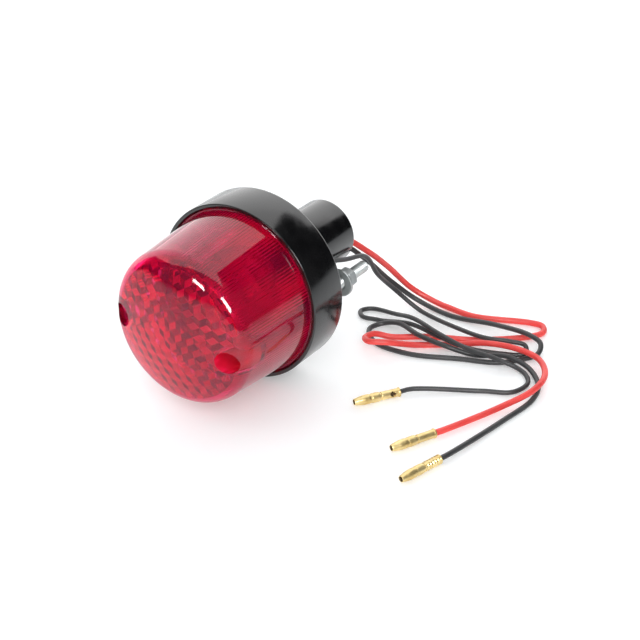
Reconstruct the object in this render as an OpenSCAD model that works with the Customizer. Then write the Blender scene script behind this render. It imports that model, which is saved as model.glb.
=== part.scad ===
// Round rear lamp with a deep reflex lens, two long through bolts and three loose leads.
// It lies on its side: X to the right, Y from the lens to the rear, Z up from the table.
// Depths are measured along the lamp's axis from the front edge of the housing ring.

/* [Housing] */
// Outer radius of the housing ring
ring_r = 38; // [37:0.5:42]
// Depth of the housing ring, front edge to rear face
ring_depth = 19.5; // [18.5:0.5:22]
// Wall of the housing ring
ring_wall = 1.8; // [1.4:0.1:2.2]
// Thickness of the housing's back plate
back_t = 2; // [1.5:0.1:2.5]
// Outer radius of the stub that carries the bulb holder
stub_r = 13.8; // [13.4:0.1:14.2]
// Wall of the stub
stub_wall = 1.8; // [1.4:0.1:2]
// Length of the stub behind the back plate
stub_len = 30.5; // [29.5:0.5:34]

/* [Lens] */
// Length of the lens in front of the housing ring
lens_len = 45; // [43.5:0.1:48]
// Wall of the lens
lens_wall = 2.5; // [2:0.1:3]
// How much the lens tapers from root to front, on the radius
lens_taper = 2.5; // [1.5:0.1:3.5]
// Radius of the rounded front edge of the lens
lens_edge_r = 8; // [7:0.1:9]
// Radius of the domed front face
lens_dome_r = 75; // [68:1:90]
// Depth of the screw wells below the middle of the front face
well_depth = 18.7; // [17.7:0.1:19.7]
// Radius of the screw wells
well_r = 4.7; // [4.6:0.05:5]
// Thickness of the sealing ring behind the lens flange
gasket_t = 1.5; // [1:0.1:2]

/* [Bolts] */
// How far the right through bolt stands in from the ring's outside
bolt_inset = 12.5; // [12:0.1:13]
// How far the left through bolt stands in from the ring's outside
left_bolt_inset = 11.5; // [11.3:0.1:12.5]
// Radius of the through bolts
bolt_r = 2.5; // [2.4:0.05:2.6]
// How far the bolts stand out behind the ring's rear face
bolt_out = 35.5; // [34:0.5:38]
// Width of the nuts across their flats
nut_flats = 8; // [7.5:0.1:8.5]
// Height of the nuts
nut_h = 4.5; // [4:0.1:5]
// Outer radius of the plain washers
washer_r = 6; // [5.5:0.1:6.2]
// Thickness of the plain washers
washer_t = 1.2; // [1:0.1:1.5]
// Gap for a bracket between the ring's rear face and the washers
bracket_gap = 16.7; // [15:0.1:17.5]

/* [Bulb] */
// Radius of the bulb's glass globe
globe_r = 12.5; // [11:0.5:13]
// Radius of the bulb's metal cap
cap_r = 7.5; // [7.3:0.1:7.6]
// Travel of the bulb when it is pushed into its holder
push_travel = 1.5; // [1:0.1:1.8]

/* [Leads] */
// Radius of the red lead
red_r = 1.3; // [1.2:0.05:1.35]
// Radius of the black lead
black_r = 1.1; // [1:0.05:1.15]
// Radius of the thin earth lead
earth_r = 1; // [0.9:0.05:1.05]
// Length of each bullet connector
bullet_len = 20; // [18:0.5:22]
// Radius of each bullet connector
bullet_r = 2; // [1.9:0.05:2]

/* [Hidden] */
$fn = 72;

// Clearances
loose = 0.3;
fit = 0.1;
close = 0.05;
bite = 0.5;

// Depths of the housing and the whole lamp
tip_z = ring_depth + bolt_out;
front_z = -lens_len;
mid_y = (tip_z + front_z) / 2;
ring_in_r = ring_r - ring_wall;
edge_chamfer = 0.8;
plate_z = ring_depth - back_t;
stub_end = ring_depth + stub_len;
stub_in_r = stub_r - stub_wall;
stub_up = 10;

// Lens
seat_z = 3.3;
flange_t = 2.5;
flange_r = ring_in_r - loose;
lens_root_r = flange_r - 0.9;
lens_front_r = lens_root_r - lens_taper;
lens_dome_z = front_z + lens_dome_r;
well_floor_z = front_z + well_depth;
well_wall = 1.7;

// Ledge under the sealing ring, and the bosses round the bolts
ledge_r = ring_in_r - 3.2;
ledge_z = seat_z + gasket_t;
ledge_t = 1.5;
boss_r = 4.5;
boss_z = seat_z + loose;
bolt_circle_r = ring_r - bolt_inset;
left_bolt_circle_r = ring_r - left_bolt_inset;
bolt_hole_r = bolt_r + loose;
bolt_roll = 10;

// The stub stands just clear of the earth terminal's barrel on the right bolt
barrel_r = 1.7;
barrel_x = bolt_circle_r * cos(bolt_roll);
stub_gap = 0.11;
stub_x = barrel_x - barrel_r - stub_gap - stub_r;

// Bolt heads
head_washer_t = 1;
head_h = 2.8;
head_r = well_r - 0.4;
head_z = well_floor_z - head_washer_t;
slot_w = 1.1;

// Washers and nuts on the bolts
washer_z = ring_depth + bracket_gap;
spring_washer_t = 1.3;
spring_washer_z = washer_z + washer_t;
nut_z = spring_washer_z + spring_washer_t;
nut_corner_r = nut_flats / 2 / cos(30);

// Reflector and bulb holder
reflector_t = 0.8;
reflector_z = plate_z - reflector_t;
reflector_r = ledge_r - loose;
reflector_rim_z = ledge_z + ledge_t + 1;
shell_r = cap_r + 1.1;
shell_in_r = cap_r + 0.25;
flange_plate_t = 0.7;
shell_z = reflector_z - flange_plate_t;
rivet_r = 0.8;
rivet_head_r = 1.25;
rivet_head_t = 0.6;
rivet_circle_r = shell_r + rivet_head_r + 0.45;
shell_flange_r = rivet_circle_r + rivet_head_r;
rivet_recess_r = rivet_circle_r + rivet_head_r + 0.8;
rivet_recess_z = plate_z + rivet_head_t + loose;

// Bulb, measured back from the holder's front
cap_len = 15;
cap_z = shell_z - 0.5;
cap_end = cap_z + cap_len;
pin_r = 1;
pin_deep = 8;
pin_z = cap_z + pin_deep;
pin_turn = 100;
bayonet_turn = 26;
pin_slot_half = pin_r + fit + 0.2;
base_t = 1.8;
base_in = 2;
contact_t = 0.7;
contact_x = 3.3;
contact_r = 1.6;
contact_z = cap_end + base_t;
plunger_z = contact_z + contact_t;
globe_out = 22;
globe_z = cap_z - globe_out;
glass_t = 0.7;
neck_r = cap_r - 0.5;
neck_deep = 3;
stem_base_z = cap_z + neck_deep + 1;
stem_tip_z = globe_z + 6;
stem_tip_r = 1.6;
stem_base_r = 3.4;

// Plungers and their springs
plunger_head_t = 0.9;
plunger_head_r = 2.2;
stem_r = 1.2;
spring_z = plunger_z + plunger_head_t;
spring_len = 3.1;
insulator_z = spring_z + spring_len;
insulator_t = 2;
lip_t = 0.7;
lip_z = insulator_z + insulator_t;
shell_end = lip_z + lip_t;
stem_end = shell_end + 0.5;

// Cable grommet in the end of the stub
grommet_t = 2.5;
collar_len = 1;
grommet_z = stub_end - collar_len - grommet_t;
grommet_lip_t = 1.2;
grommet_lip_r = stub_in_r - 1.2;
collar_wall = 0.8;
stub_height = ring_r + stub_up;
exit_unit = stub_in_r / 24;
red_exit = [stub_x + 10 * exit_unit, stub_height - 11 * exit_unit];
black_exit = [stub_x + 9 * exit_unit, stub_height - 17.2 * exit_unit];
exit_len = 6;

// Earth terminal on the right bolt
terminal_t = 0.8;
terminal_r = 5;
barrel_low = ring_r + 2;
barrel_len = 4.5;
barrel_top = barrel_low + barrel_len;
barrel_y = ring_depth + barrel_r;

// Routes of the leads: across, depth and height of points along each centreline
red_route = [[red_exit[0], stub_end, red_exit[1]], [red_exit[0], stub_end + exit_len, red_exit[1]],
    [20.5, 65, 34.5], [23, 78, 22], [28.5, 90, 7.5], [42, 93.5, 1.8], [58, 93.5, 1.3], [81, 102.5, 1.3],
    [86.5, 102.8, 1.3], [89.3, 98, 1.3], [86, 91.5, 1.3], [68, 76, 1.3], [50, 67, 1.3], [38.5, 57, 2.2],
    [32.6, 51.9, 4.3], [31.6, 46.4, 4.8], [35.2, 43.4, 5.6], [41.5, 46.3, 5.8], [49.5, 56.5, 2.2],
    [62, 67, 1.3], [75, 72.2, 3.9], [88, 75, 4.4], [100, 73, 4.3], [108, 63.5, 4.2], [109.5, 50, 4.2],
    [103.5, 35.5, 2.2], [93.1, 9, 2], [91, 4.5, 2]];
black_route = [[black_exit[0], stub_end, black_exit[1]],
    [black_exit[0], stub_end + exit_len, black_exit[1]],
    [19.5, 66, 29.5], [22.5, 79.5, 15], [32, 88.5, 3.6], [50, 88.5, 1.1], [70, 90, 2.8], [88, 87.8, 4.6],
    [94.5, 85.6, 3.6], [96, 80.5, 1.6], [92.5, 74, 1.1], [85, 65.5, 1.1], [70, 59, 1.1], [52, 51, 1.1],
    [36.5, 49.9, 1.1], [29.2, 54, 1.1], [25.7, 59.8, 1.1], [28.8, 65.3, 1.8], [36.8, 65.2, 4.4],
    [49, 61, 4.8], [62, 60.3, 4.3], [74.5, 65, 1.5], [88, 67.5, 4.2], [98, 67.5, 2.4], [107, 60, 1.1],
    [110.5, 48, 1.1], [108, 28, 1.1], [102.8, -4.7, 2], [101.5, -9.5, 2]];
earth_route = [[barrel_x, barrel_y, barrel_top], [barrel_x, barrel_y, barrel_top + 2.3],
    [25.1, 24.5, 49], [25.1, 32, 46], [25.1, 41, 42.6], [25.1, 50, 40.1], [25, 54.5, 38.3],
    [24.9, 59, 34.6], [24.6, 66, 24.8], [26, 78, 12.2], [38, 82.5, 2.4], [58, 77.3, 3.5],
    [73, 75.4, 4.4], [84, 79.2, 4.2], [89.5, 81, 3.4], [91.5, 78.5, 1.6], [88.5, 75.5, 1], [82, 72.6, 1],
    [70.5, 66.6, 2.6], [58, 65, 4.4], [41, 68, 4.1], [25.5, 67.8, 1], [17.5, 66.3, 1], [14, 70.2, 1],
    [17, 74.5, 1], [29, 74.2, 2.4], [42, 69, 6.6], [58, 63.5, 6.9], [72, 62.3, 5.2], [86, 63.5, 4.1],
    [97, 65, 1.2], [103, 58.5, 1], [101, 49, 1], [90, 42.5, 1], [67.1, 26.8, 2], [64, 22, 2]];

// Where each bullet connector starts, and the way it points
red_bullet_at = [91, 4.5];
red_bullet_turn = -115;
black_bullet_at = [101.5, -9.5];
black_bullet_turn = -105;
earth_bullet_at = [64, 22];
earth_bullet_turn = -123;

// Colours
gloss_black = [0.06, 0.06, 0.065];
lens_red = [0.75, 0.02, 0.08, 0.8];
rubber_black = [0.12, 0.12, 0.12];
bright_metal = [0.82, 0.83, 0.85];
zinc = [0.72, 0.75, 0.76];
nickel = [0.75, 0.73, 0.68];
brass = [0.83, 0.66, 0.25];
laminate = [0.45, 0.3, 0.18];
clear_glass = [0.85, 0.9, 0.92, 0.4];
tungsten = [0.3, 0.3, 0.32];
fibre = [0.5, 0.12, 0.1];
red_pvc = [0.9, 0.2, 0.17];
black_pvc = [0.17, 0.17, 0.17];

// Puts the lamp's middle over the origin
module shifted() {
    translate([0, -mid_y, 0]) children();
}

// The lamp's own frame: Z runs along its axis to the rear, and -Y is up
module lamp() {
    shifted() translate([0, 0, ring_r]) rotate([-90, 0, 0]) children();
}

module on_stub() {
    translate([stub_x, -stub_up, 0]) children();
}

// side is 0 for the right bolt and 1 for the left one
module on_bolt(side) {
    place = [[bolt_circle_r, bolt_roll], [left_bolt_circle_r, 180]][side];
    rotate([0, 0, place[1]]) translate([place[0], 0, 0]) children();
}

module on_bolts() {
    for (side = [0, 1]) on_bolt(side) children();
}

module rod(r, from, to) {
    translate([0, 0, from]) cylinder(r = r, h = to - from);
}

module ring(r_out, r_in, from, to) {
    difference() {
        rod(r_out, from, to);
        rod(r_in, from - 1, to + 1);
    }
}

// Points along an arc about [r, z]
function arc(centre, radius, from, to, steps) =
    [for (i = [0:steps]) let (a = from + (to - from) * i / steps)
        [centre[0] + radius * cos(a), centre[1] + radius * sin(a)]];

module housing() {
    lamp() color(gloss_black) difference() {
        union() {
            rotate_extrude() polygon([[0, ring_depth], [ring_r - edge_chamfer, ring_depth],
                [ring_r, ring_depth - edge_chamfer], [ring_r, 0.3], [ring_r - 0.3, 0], [ring_in_r + 0.4, 0],
                [ring_in_r, 0.4], [ring_in_r, ledge_z], [ledge_r, ledge_z], [ledge_r, ledge_z + ledge_t],
                [ring_in_r, ledge_z + ledge_t + 2], [ring_in_r, plate_z], [0, plate_z]]);
            on_bolts() rod(boss_r, boss_z, plate_z + bite);
            on_stub() {
                rod(stub_r, plate_z + bite, stub_end - edge_chamfer);
                translate([0, 0, stub_end - edge_chamfer])
                    cylinder(r1 = stub_r, r2 = stub_r - edge_chamfer, h = edge_chamfer);
            }
        }
        on_bolts() rod(bolt_hole_r, boss_z - 1, ring_depth + 1);
        on_stub() difference() {
            union() {
                rod(stub_in_r, plate_z - 1, stub_end + 1);
                rod(rivet_recess_r, plate_z - 1, rivet_recess_z);
            }
            ring(stub_in_r + 1, grommet_lip_r, grommet_z - grommet_lip_t, grommet_z);
        }
    }
}

// Outline of the lens, drawn in by inset on every face: a dome that runs smoothly into the edge
function lens_outline(inset) =
    let (
        edge = lens_edge_r - inset * 0.6,
        edge_x = lens_front_r - inset - edge,
        dome = lens_dome_r - inset,
        tilt = asin(edge_x / (dome - edge)),
        edge_z = lens_dome_z - (dome - edge) * cos(tilt)
    )
    concat(
        [[0, seat_z + inset], [0, lens_dome_z - dome]],
        [for (i = [1:7]) let (a = tilt * i / 8) [dome * sin(a), lens_dome_z - dome * cos(a)]],
        arc([edge_x, edge_z], edge, tilt - 90, 0, 12),
        [[lens_root_r - inset, 0], [lens_root_r - inset, seat_z + inset]]);

module lens_form(inset) {
    rotate_extrude() polygon(lens_outline(inset));
}

module lens() {
    lamp() color(lens_red) difference() {
        union() {
            difference() {
                union() {
                    lens_form(0);
                    rod(flange_r, seat_z - flange_t, seat_z);
                }
                lens_form(lens_wall);
            }
            intersection() {
                lens_form(0);
                on_bolts() {
                    rod(well_r + well_wall, front_z - 1, well_floor_z + 2);
                    rod(boss_r, front_z, seat_z);
                }
            }
        }
        on_bolts() {
            rod(well_r, front_z - 1, well_floor_z);
            rod(bolt_hole_r, front_z, seat_z + 1);
        }
    }
}

module lens_gasket() {
    lamp() color(rubber_black) ring(flange_r, ledge_r + loose, seat_z, ledge_z);
}

module reflector() {
    lamp() color(bright_metal) difference() {
        rotate_extrude() polygon([[0, plate_z], [reflector_r, plate_z], [reflector_r, reflector_rim_z],
            [reflector_r - reflector_t, reflector_rim_z], [reflector_r - reflector_t, reflector_z],
            [0, reflector_z]]);
        on_bolts() rod(boss_r + loose, 0, ring_depth);
        on_stub() {
            rod(shell_r + fit, 0, ring_depth);
            on_rivets() rod(rivet_r + close, 0, ring_depth);
        }
    }
}

module on_rivets() {
    for (side = [0, 1]) rotate([0, 0, bolt_roll + 180 * side])
        translate([rivet_circle_r, 0, 0]) children();
}

// A bayonet slot: straight in from the front, across, and forward again into its seat
module bayonet_slot() {
    from_r = cap_r - 1;
    reach = 3;
    width = pin_slot_half * 2;
    deep = pin_z + pin_slot_half + push_travel;
    seat = pin_z - pin_r - fit;
    translate([from_r, -pin_slot_half, shell_z - 1]) cube([reach, width, deep - shell_z + 1]);
    rotate([0, 0, -bayonet_turn]) {
        rotate_extrude(angle = bayonet_turn) translate([from_r, deep - width + 0.05])
            square([reach - 0.2, width]);
        translate([from_r, -pin_slot_half, seat]) cube([reach, width, deep - seat - 0.3]);
    }
}

module socket_shell() {
    lamp() on_stub() color(bright_metal) difference() {
        union() {
            rod(shell_r, shell_z, shell_end);
            rod(shell_flange_r, shell_z, reflector_z);
        }
        rod(shell_in_r, shell_z - 1, lip_z);
        rod(shell_in_r - 1.3, lip_z - 1, shell_end + 1);
        on_rivets() rod(rivet_r + close, 0, ring_depth);
        for (turn = [pin_turn, pin_turn + 180]) rotate([0, 0, turn + bayonet_turn]) bayonet_slot();
    }
}

module socket_rivets() {
    lamp() on_stub() color(zinc) on_rivets() {
        rod(rivet_head_r, shell_z - rivet_head_t, shell_z);
        rod(rivet_r, shell_z - 0.1, plate_z + 0.1);
        rod(rivet_head_r, plate_z, plate_z + rivet_head_t);
    }
}

module on_contacts() {
    for (side = [-1, 1]) translate([contact_x * side, 0, 0]) children();
}

module socket_insulator() {
    lamp() on_stub() color(laminate) difference() {
        rod(shell_in_r - close, insulator_z, lip_z);
        on_contacts() rod(stem_r + fit, insulator_z - 1, lip_z + 1);
    }
}

module contact_plungers() {
    lamp() on_stub() color(brass) on_contacts() {
        rod(plunger_head_r, plunger_z, spring_z);
        rod(stem_r, plunger_z, stem_end);
    }
}

module plunger_springs() {
    lamp() on_stub() color(zinc) on_contacts()
        ring(plunger_head_r - fit, stem_r + fit, spring_z, insulator_z);
}

// Outline of the bulb's glass: a round globe on a narrower neck
function globe_outline(radius, neck) =
    let (meet = acos(neck / radius))
    concat([[0, cap_z + neck_deep]], [[0, globe_z - radius]], arc([0, globe_z], radius, -82, meet, 16),
        [[neck, cap_z + neck_deep]]);

module bulb_glass() {
    lamp() on_stub() color(clear_glass) difference() {
        rotate_extrude() polygon(globe_outline(globe_r, neck_r));
        rotate_extrude() polygon(concat(globe_outline(globe_r - glass_t, neck_r - glass_t),
            [[neck_r - glass_t, stem_base_z], [0, stem_base_z]]));
    }
}

module bulb_cap() {
    lamp() on_stub() color(nickel) {
        difference() {
            rod(cap_r, cap_z, cap_end);
            rod(neck_r + close, cap_z - 1, cap_z + neck_deep);
            rod(neck_r - 0.5, cap_z, cap_end + 1);
        }
        for (turn = [pin_turn, pin_turn + 180]) rotate([0, 0, turn]) translate([neck_r, 0, pin_z])
            rotate([0, 90, 0]) cylinder(r = pin_r, h = shell_r - neck_r - fit);
    }
}

module bulb_base() {
    lamp() on_stub() color(rubber_black) {
        rod(neck_r - 0.5 - close, cap_end - base_in, cap_end);
        rod(neck_r, cap_end, contact_z);
    }
}

module bulb_contacts() {
    lamp() on_stub() color(zinc) on_contacts() rod(contact_r, contact_z, plunger_z);
}

module bulb_stem() {
    lamp() on_stub() color(clear_glass) {
        rod(neck_r - glass_t - loose, stem_base_z, cap_end - base_in);
        translate([0, 0, stem_tip_z])
            cylinder(r1 = stem_tip_r, r2 = stem_base_r, h = stem_base_z - stem_tip_z);
    }
}

// Two bridges of thin wire over the stem, each with its coiled bar
module filaments() {
    wire_r = 0.3;
    bar_r = 0.45;
    reach = 3;
    low = globe_z + 7;
    lamp() on_stub() color(tungsten) for (tier = [0, 1]) rotate([0, 0, 90 * tier]) {
        top = globe_z - 1 - 3 * tier;
        for (side = [-1, 1]) translate([reach * side, 0, top])
            cylinder(r = wire_r, h = low - top, $fn = 16);
        translate([-reach, 0, top]) rotate([0, 90, 0]) cylinder(r = bar_r, h = reach * 2, $fn = 16);
        translate([-reach - wire_r, 0, low]) rotate([0, 90, 0])
            cylinder(r = wire_r, h = (reach + wire_r) * 2, $fn = 16);
    }
}

module bolt(side) {
    lamp() color(zinc) on_bolt(side) difference() {
        union() {
            rod(head_r, head_z - head_h, head_z);
            rod(bolt_r, head_z - 1, tip_z - 0.6);
            translate([0, 0, tip_z - 0.6]) cylinder(r1 = bolt_r, r2 = bolt_r - 0.6, h = 0.6);
        }
        for (turn = [0, 90]) rotate([0, 0, turn])
            translate([-2.4, -slot_w / 2, head_z - head_h - 1]) cube([4.8, slot_w, 2.8]);
    }
}

module bolt_right() {
    bolt(0);
}

module bolt_left() {
    bolt(1);
}

module head_washers() {
    lamp() color(fibre) on_bolts() ring(head_r, bolt_hole_r, head_z, well_floor_z);
}

module washer(side) {
    lamp() color(zinc) on_bolt(side) ring(washer_r, bolt_hole_r, washer_z, spring_washer_z);
}

module washer_right() {
    washer(0);
}

module washer_left() {
    washer(1);
}

// A split ring with its cut across
module spring_washer(side) {
    lamp() color(zinc) on_bolt(side) difference() {
        ring(bolt_r + 2, bolt_r + 0.2, spring_washer_z, nut_z);
        translate([0, 0, spring_washer_z - 1]) rotate([0, 0, 35]) translate([0, -0.4, 0])
            cube([6, 0.8, spring_washer_t + 2]);
    }
}

module spring_washer_right() {
    spring_washer(0);
}

module spring_washer_left() {
    spring_washer(1);
}

// A hexagon with both faces turned to a cone at the corners
module nut(side) {
    lamp() color(zinc) on_bolt(side) difference() {
        intersection() {
            translate([0, 0, nut_z]) cylinder(r = nut_corner_r, h = nut_h, $fn = 6);
            rotate_extrude() polygon([[0, nut_z], [nut_flats / 2, nut_z],
                [nut_corner_r + 0.1, nut_z + 0.5], [nut_corner_r + 0.1, nut_z + nut_h - 0.5],
                [nut_flats / 2, nut_z + nut_h], [0, nut_z + nut_h]]);
        }
        rod(bolt_r + close, nut_z - 1, nut_z + nut_h + 1);
    }
}

module nut_right() {
    nut(0);
}

module nut_left() {
    nut(1);
}

// A ring tongue with a crimp barrel that stands up beside the stub
module earth_terminal() {
    bolt_height = ring_r - bolt_circle_r * sin(bolt_roll);
    tongue_w = 3;
    shifted() color(bright_metal) translate([barrel_x, 0, 0]) {
        difference() {
            union() {
                translate([0, ring_depth, bolt_height]) rotate([-90, 0, 0])
                    cylinder(r = terminal_r, h = terminal_t);
                translate([-tongue_w / 2, ring_depth, bolt_height + 3])
                    cube([tongue_w, terminal_t, barrel_low - bolt_height - 2]);
            }
            translate([0, ring_depth - 1, bolt_height]) rotate([-90, 0, 0])
                cylinder(r = bolt_hole_r, h = terminal_t + 2);
        }
        translate([0, barrel_y, barrel_low]) cylinder(r = barrel_r, h = barrel_len);
    }
}

module at_exit(place) {
    translate([place[0], ring_r - place[1], 0]) children();
}

module cable_grommet() {
    lamp() color(rubber_black) {
        on_stub() rod(stub_in_r - close, grommet_z, grommet_z + grommet_t);
        at_exit(red_exit) rod(red_r + collar_wall, grommet_z + grommet_t, stub_end);
        at_exit(black_exit) rod(black_r + collar_wall, grommet_z + grommet_t, stub_end);
    }
}

// The bare ends of the two leads inside the stub, from the grommet towards the plungers
module lead_tails() {
    tail_r = 0.8;
    start = stem_end + push_travel + 0.4;
    lamp() color(red_pvc) for (pair = [[red_exit, 1], [black_exit, -1]]) hull() {
        on_stub() translate([contact_x * pair[1], 0, start]) cylinder(r = tail_r, h = 0.3, $fn = 16);
        at_exit(pair[0]) translate([0, 0, grommet_z - 0.3]) cylinder(r = tail_r, h = 0.3, $fn = 16);
    }
}

// Unit vector
function unit(v) = v / norm(v);

// Direction of the centreline at each point
function headings(p) = [for (i = [0:len(p) - 1]) unit(p[min(i + 1, len(p) - 1)] - p[max(i - 1, 0)])];

// One side vector for each point, carried along the line without twist
function sides(t) = [for (i = 0, s = unit(cross(t[0], [0.3, 0.4, 1])); i < len(t);
    i = i + 1, s = i < len(t) ? unit(s - (s * t[i]) * t[i]) : s) s];

// A tube of eight sides with one ring of corners at each point of the route
module lead(route, radius) {
    n = 8;
    t = headings(route);
    s = sides(t);
    corners = [for (i = [0:len(route) - 1]) let (u = cross(t[i], s[i])) for (k = [0:n - 1])
        route[i] + radius * (cos(360 * k / n) * s[i] + sin(360 * k / n) * u)];
    last = (len(route) - 1) * n;
    walls = [for (i = [0:len(route) - 2], k = [0:n - 1]) let (a = i * n + k, b = i * n + (k + 1) % n)
        each [[a, b, a + n], [b, b + n, a + n]]];
    caps = [for (k = [1:n - 2]) each [[0, k + 1, k], [last, last + k, last + k + 1]]];
    shifted() polyhedron(points = corners, faces = concat(walls, caps));
}

module red_lead() {
    color(red_pvc) lead(red_route, red_r);
}

module black_lead() {
    color(black_pvc) lead(black_route, black_r);
}

module earth_lead() {
    color(black_pvc) lead(earth_route, earth_r);
}

// A crimp barrel with a flared mouth, a groove and a hollow bullet nose, lying on the table
module bullet(place, turn) {
    crimp_r = bullet_r * 0.84;
    crimp_len = 8;
    nose = 3.5;
    hole_r = 0.9;
    shifted() color(brass) translate([place[0], place[1], bullet_r]) rotate([0, 0, turn]) rotate([0, 90, 0])
        rotate_extrude() polygon([[0, 0], [bullet_r * 0.92, 0], [crimp_r, 1], [crimp_r, crimp_len],
            [bullet_r * 0.7, crimp_len + 0.4], [bullet_r * 0.7, crimp_len + 1], [bullet_r, crimp_len + 1.6],
            [bullet_r, bullet_len - nose], [bullet_r * 0.7, bullet_len - 0.3], [bullet_r * 0.6, bullet_len],
            [hole_r, bullet_len], [hole_r, bullet_len - 4], [0, bullet_len - 4]]);
}

module red_bullet() {
    bullet(red_bullet_at, red_bullet_turn);
}

module black_bullet() {
    bullet(black_bullet_at, black_bullet_turn);
}

module earth_bullet() {
    bullet(earth_bullet_at, earth_bullet_turn);
}

housing();
lens();
lens_gasket();
reflector();
socket_shell();
socket_rivets();
socket_insulator();
contact_plungers();
plunger_springs();
bulb_glass();
bulb_cap();
bulb_base();
bulb_contacts();
bulb_stem();
filaments();
bolt_right();
bolt_left();
head_washers();
washer_right();
spring_washer_right();
nut_right();
washer_left();
spring_washer_left();
nut_left();
earth_terminal();
cable_grommet();
lead_tails();
red_lead();
black_lead();
earth_lead();
red_bullet();
black_bullet();
earth_bullet();
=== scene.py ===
"""A round rear lamp with a deep red reflex lens, lying on a pale table beside its leads."""
import math

import bmesh
import bpy
import numpy as np
from mathutils import Matrix, Vector
from mathutils.geometry import interpolate_bezier


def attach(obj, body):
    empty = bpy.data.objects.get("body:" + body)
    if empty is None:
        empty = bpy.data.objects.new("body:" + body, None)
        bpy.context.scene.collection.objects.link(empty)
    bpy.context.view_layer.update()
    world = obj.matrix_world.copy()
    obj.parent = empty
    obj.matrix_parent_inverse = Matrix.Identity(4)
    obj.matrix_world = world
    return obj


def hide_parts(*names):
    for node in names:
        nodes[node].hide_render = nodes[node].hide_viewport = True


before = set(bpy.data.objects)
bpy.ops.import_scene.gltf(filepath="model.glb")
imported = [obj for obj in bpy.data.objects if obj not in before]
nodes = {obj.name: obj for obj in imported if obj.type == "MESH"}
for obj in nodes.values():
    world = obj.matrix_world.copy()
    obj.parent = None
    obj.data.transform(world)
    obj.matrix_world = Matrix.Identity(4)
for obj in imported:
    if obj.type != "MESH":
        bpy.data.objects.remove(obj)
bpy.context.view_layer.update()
scene = bpy.context.scene

MM = 0.001
MID = 5.0        # depth of the frame's origin behind the ring's front edge, mm
AXIS = 38.0      # height of the lamp's axis, mm
TAU = 2 * math.pi
ON_AXIS = 1e-4   # a smaller radius counts as none, mm


def at(x, depth, z):
    """A point from its place across, its depth and its height, in mm."""
    return Vector((x, depth - MID, z)) * MM


# ---------------------------------------------------------------- camera

camera_data = bpy.data.cameras.new("camera")
camera_data.sensor_width = 36
camera_data.lens = 90
camera_data.clip_start = 0.01
camera_data.clip_end = 20
camera = bpy.data.objects.new("camera", camera_data)
camera.location = (0.34552, -0.4509, 0.35022)
camera.rotation_euler = (math.radians(60), 0, math.radians(34.4))
scene.collection.objects.link(camera)
scene.camera = camera


# ---------------------------------------------------------------- materials

def link(tree, a, out, b, into):
    """Joins one node's output to another's input."""
    tree.links.new(a.outputs[out], b.inputs[into])


def material(name, color, roughness, metallic=0.0, **sockets):
    """A Principled material whose whole-surface numbers sit on its own sockets."""
    m = bpy.data.materials.new(name)
    m.use_nodes = True
    shader = m.node_tree.nodes["Principled BSDF"]
    shader.inputs["Base Color"].default_value = (*color, 1)
    shader.inputs["Roughness"].default_value = roughness
    shader.inputs["Metallic"].default_value = metallic
    for key, value in sockets.items():
        shader.inputs[key.replace("_", " ")].default_value = value
    return m


def noise(m, scale, detail=3.0, stretch=None):
    """A noise in the object's own coordinates, scale in bumps per metre."""
    tree = m.node_tree
    coords = tree.nodes.new("ShaderNodeTexCoord")
    texture = tree.nodes.new("ShaderNodeTexNoise")
    texture.inputs["Scale"].default_value = scale
    texture.inputs["Detail"].default_value = detail
    if stretch:
        mapping = tree.nodes.new("ShaderNodeMapping")
        mapping.inputs["Scale"].default_value = stretch
        link(tree, coords, "Object", mapping, "Vector")
        link(tree, mapping, "Vector", texture, "Vector")
    else:
        link(tree, coords, "Object", texture, "Vector")
    return texture


def ramp(m, texture, low, high, into, start=0.3, end=0.7):
    """Turns a texture into values or colours between low and high, for one socket."""
    tree = m.node_tree
    node = tree.nodes.new("ShaderNodeValToRGB")
    node.color_ramp.elements[0].position = start
    node.color_ramp.elements[1].position = end
    for element, value in zip(node.color_ramp.elements, (low, high)):
        element.color = (*value, 1) if isinstance(value, tuple) else (value, value, value, 1)
    link(tree, texture, 0, node, "Fac")
    link(tree, node, "Color", tree.nodes["Principled BSDF"], into)
    return node


def bump(m, texture, height):
    """Uses a texture as a relief of a height in metres."""
    tree = m.node_tree
    node = tree.nodes.new("ShaderNodeBump")
    node.inputs["Distance"].default_value = height
    link(tree, texture, 0, node, "Height")
    link(tree, node, "Normal", tree.nodes["Principled BSDF"], "Normal")


def plastic(name, dark, light, rough, grain, grain_height, **sockets):
    """Moulded plastic or rubber: a fine grain, and slow changes in colour and gloss."""
    m = material(name, light, sum(rough) / 2, **sockets)
    ramp(m, noise(m, 90, 4), dark, light, "Base Color")
    ramp(m, noise(m, 260, 5), rough[0], rough[1], "Roughness")
    bump(m, noise(m, grain, 2), grain_height)
    return m


def metal(name, dark, light, rough, stretch=(1, 1, 1), grain=1400, grain_height=8e-6,
          metallic=1.0):
    """Plated or bare metal: soft tarnish, and fine drawing marks along one way."""
    m = material(name, light, sum(rough) / 2, metallic)
    ramp(m, noise(m, 170, 5), dark, light, "Base Color")
    ramp(m, noise(m, 700, 4, stretch), rough[0], rough[1], "Roughness")
    bump(m, noise(m, grain, 3, stretch), grain_height)
    return m


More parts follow.
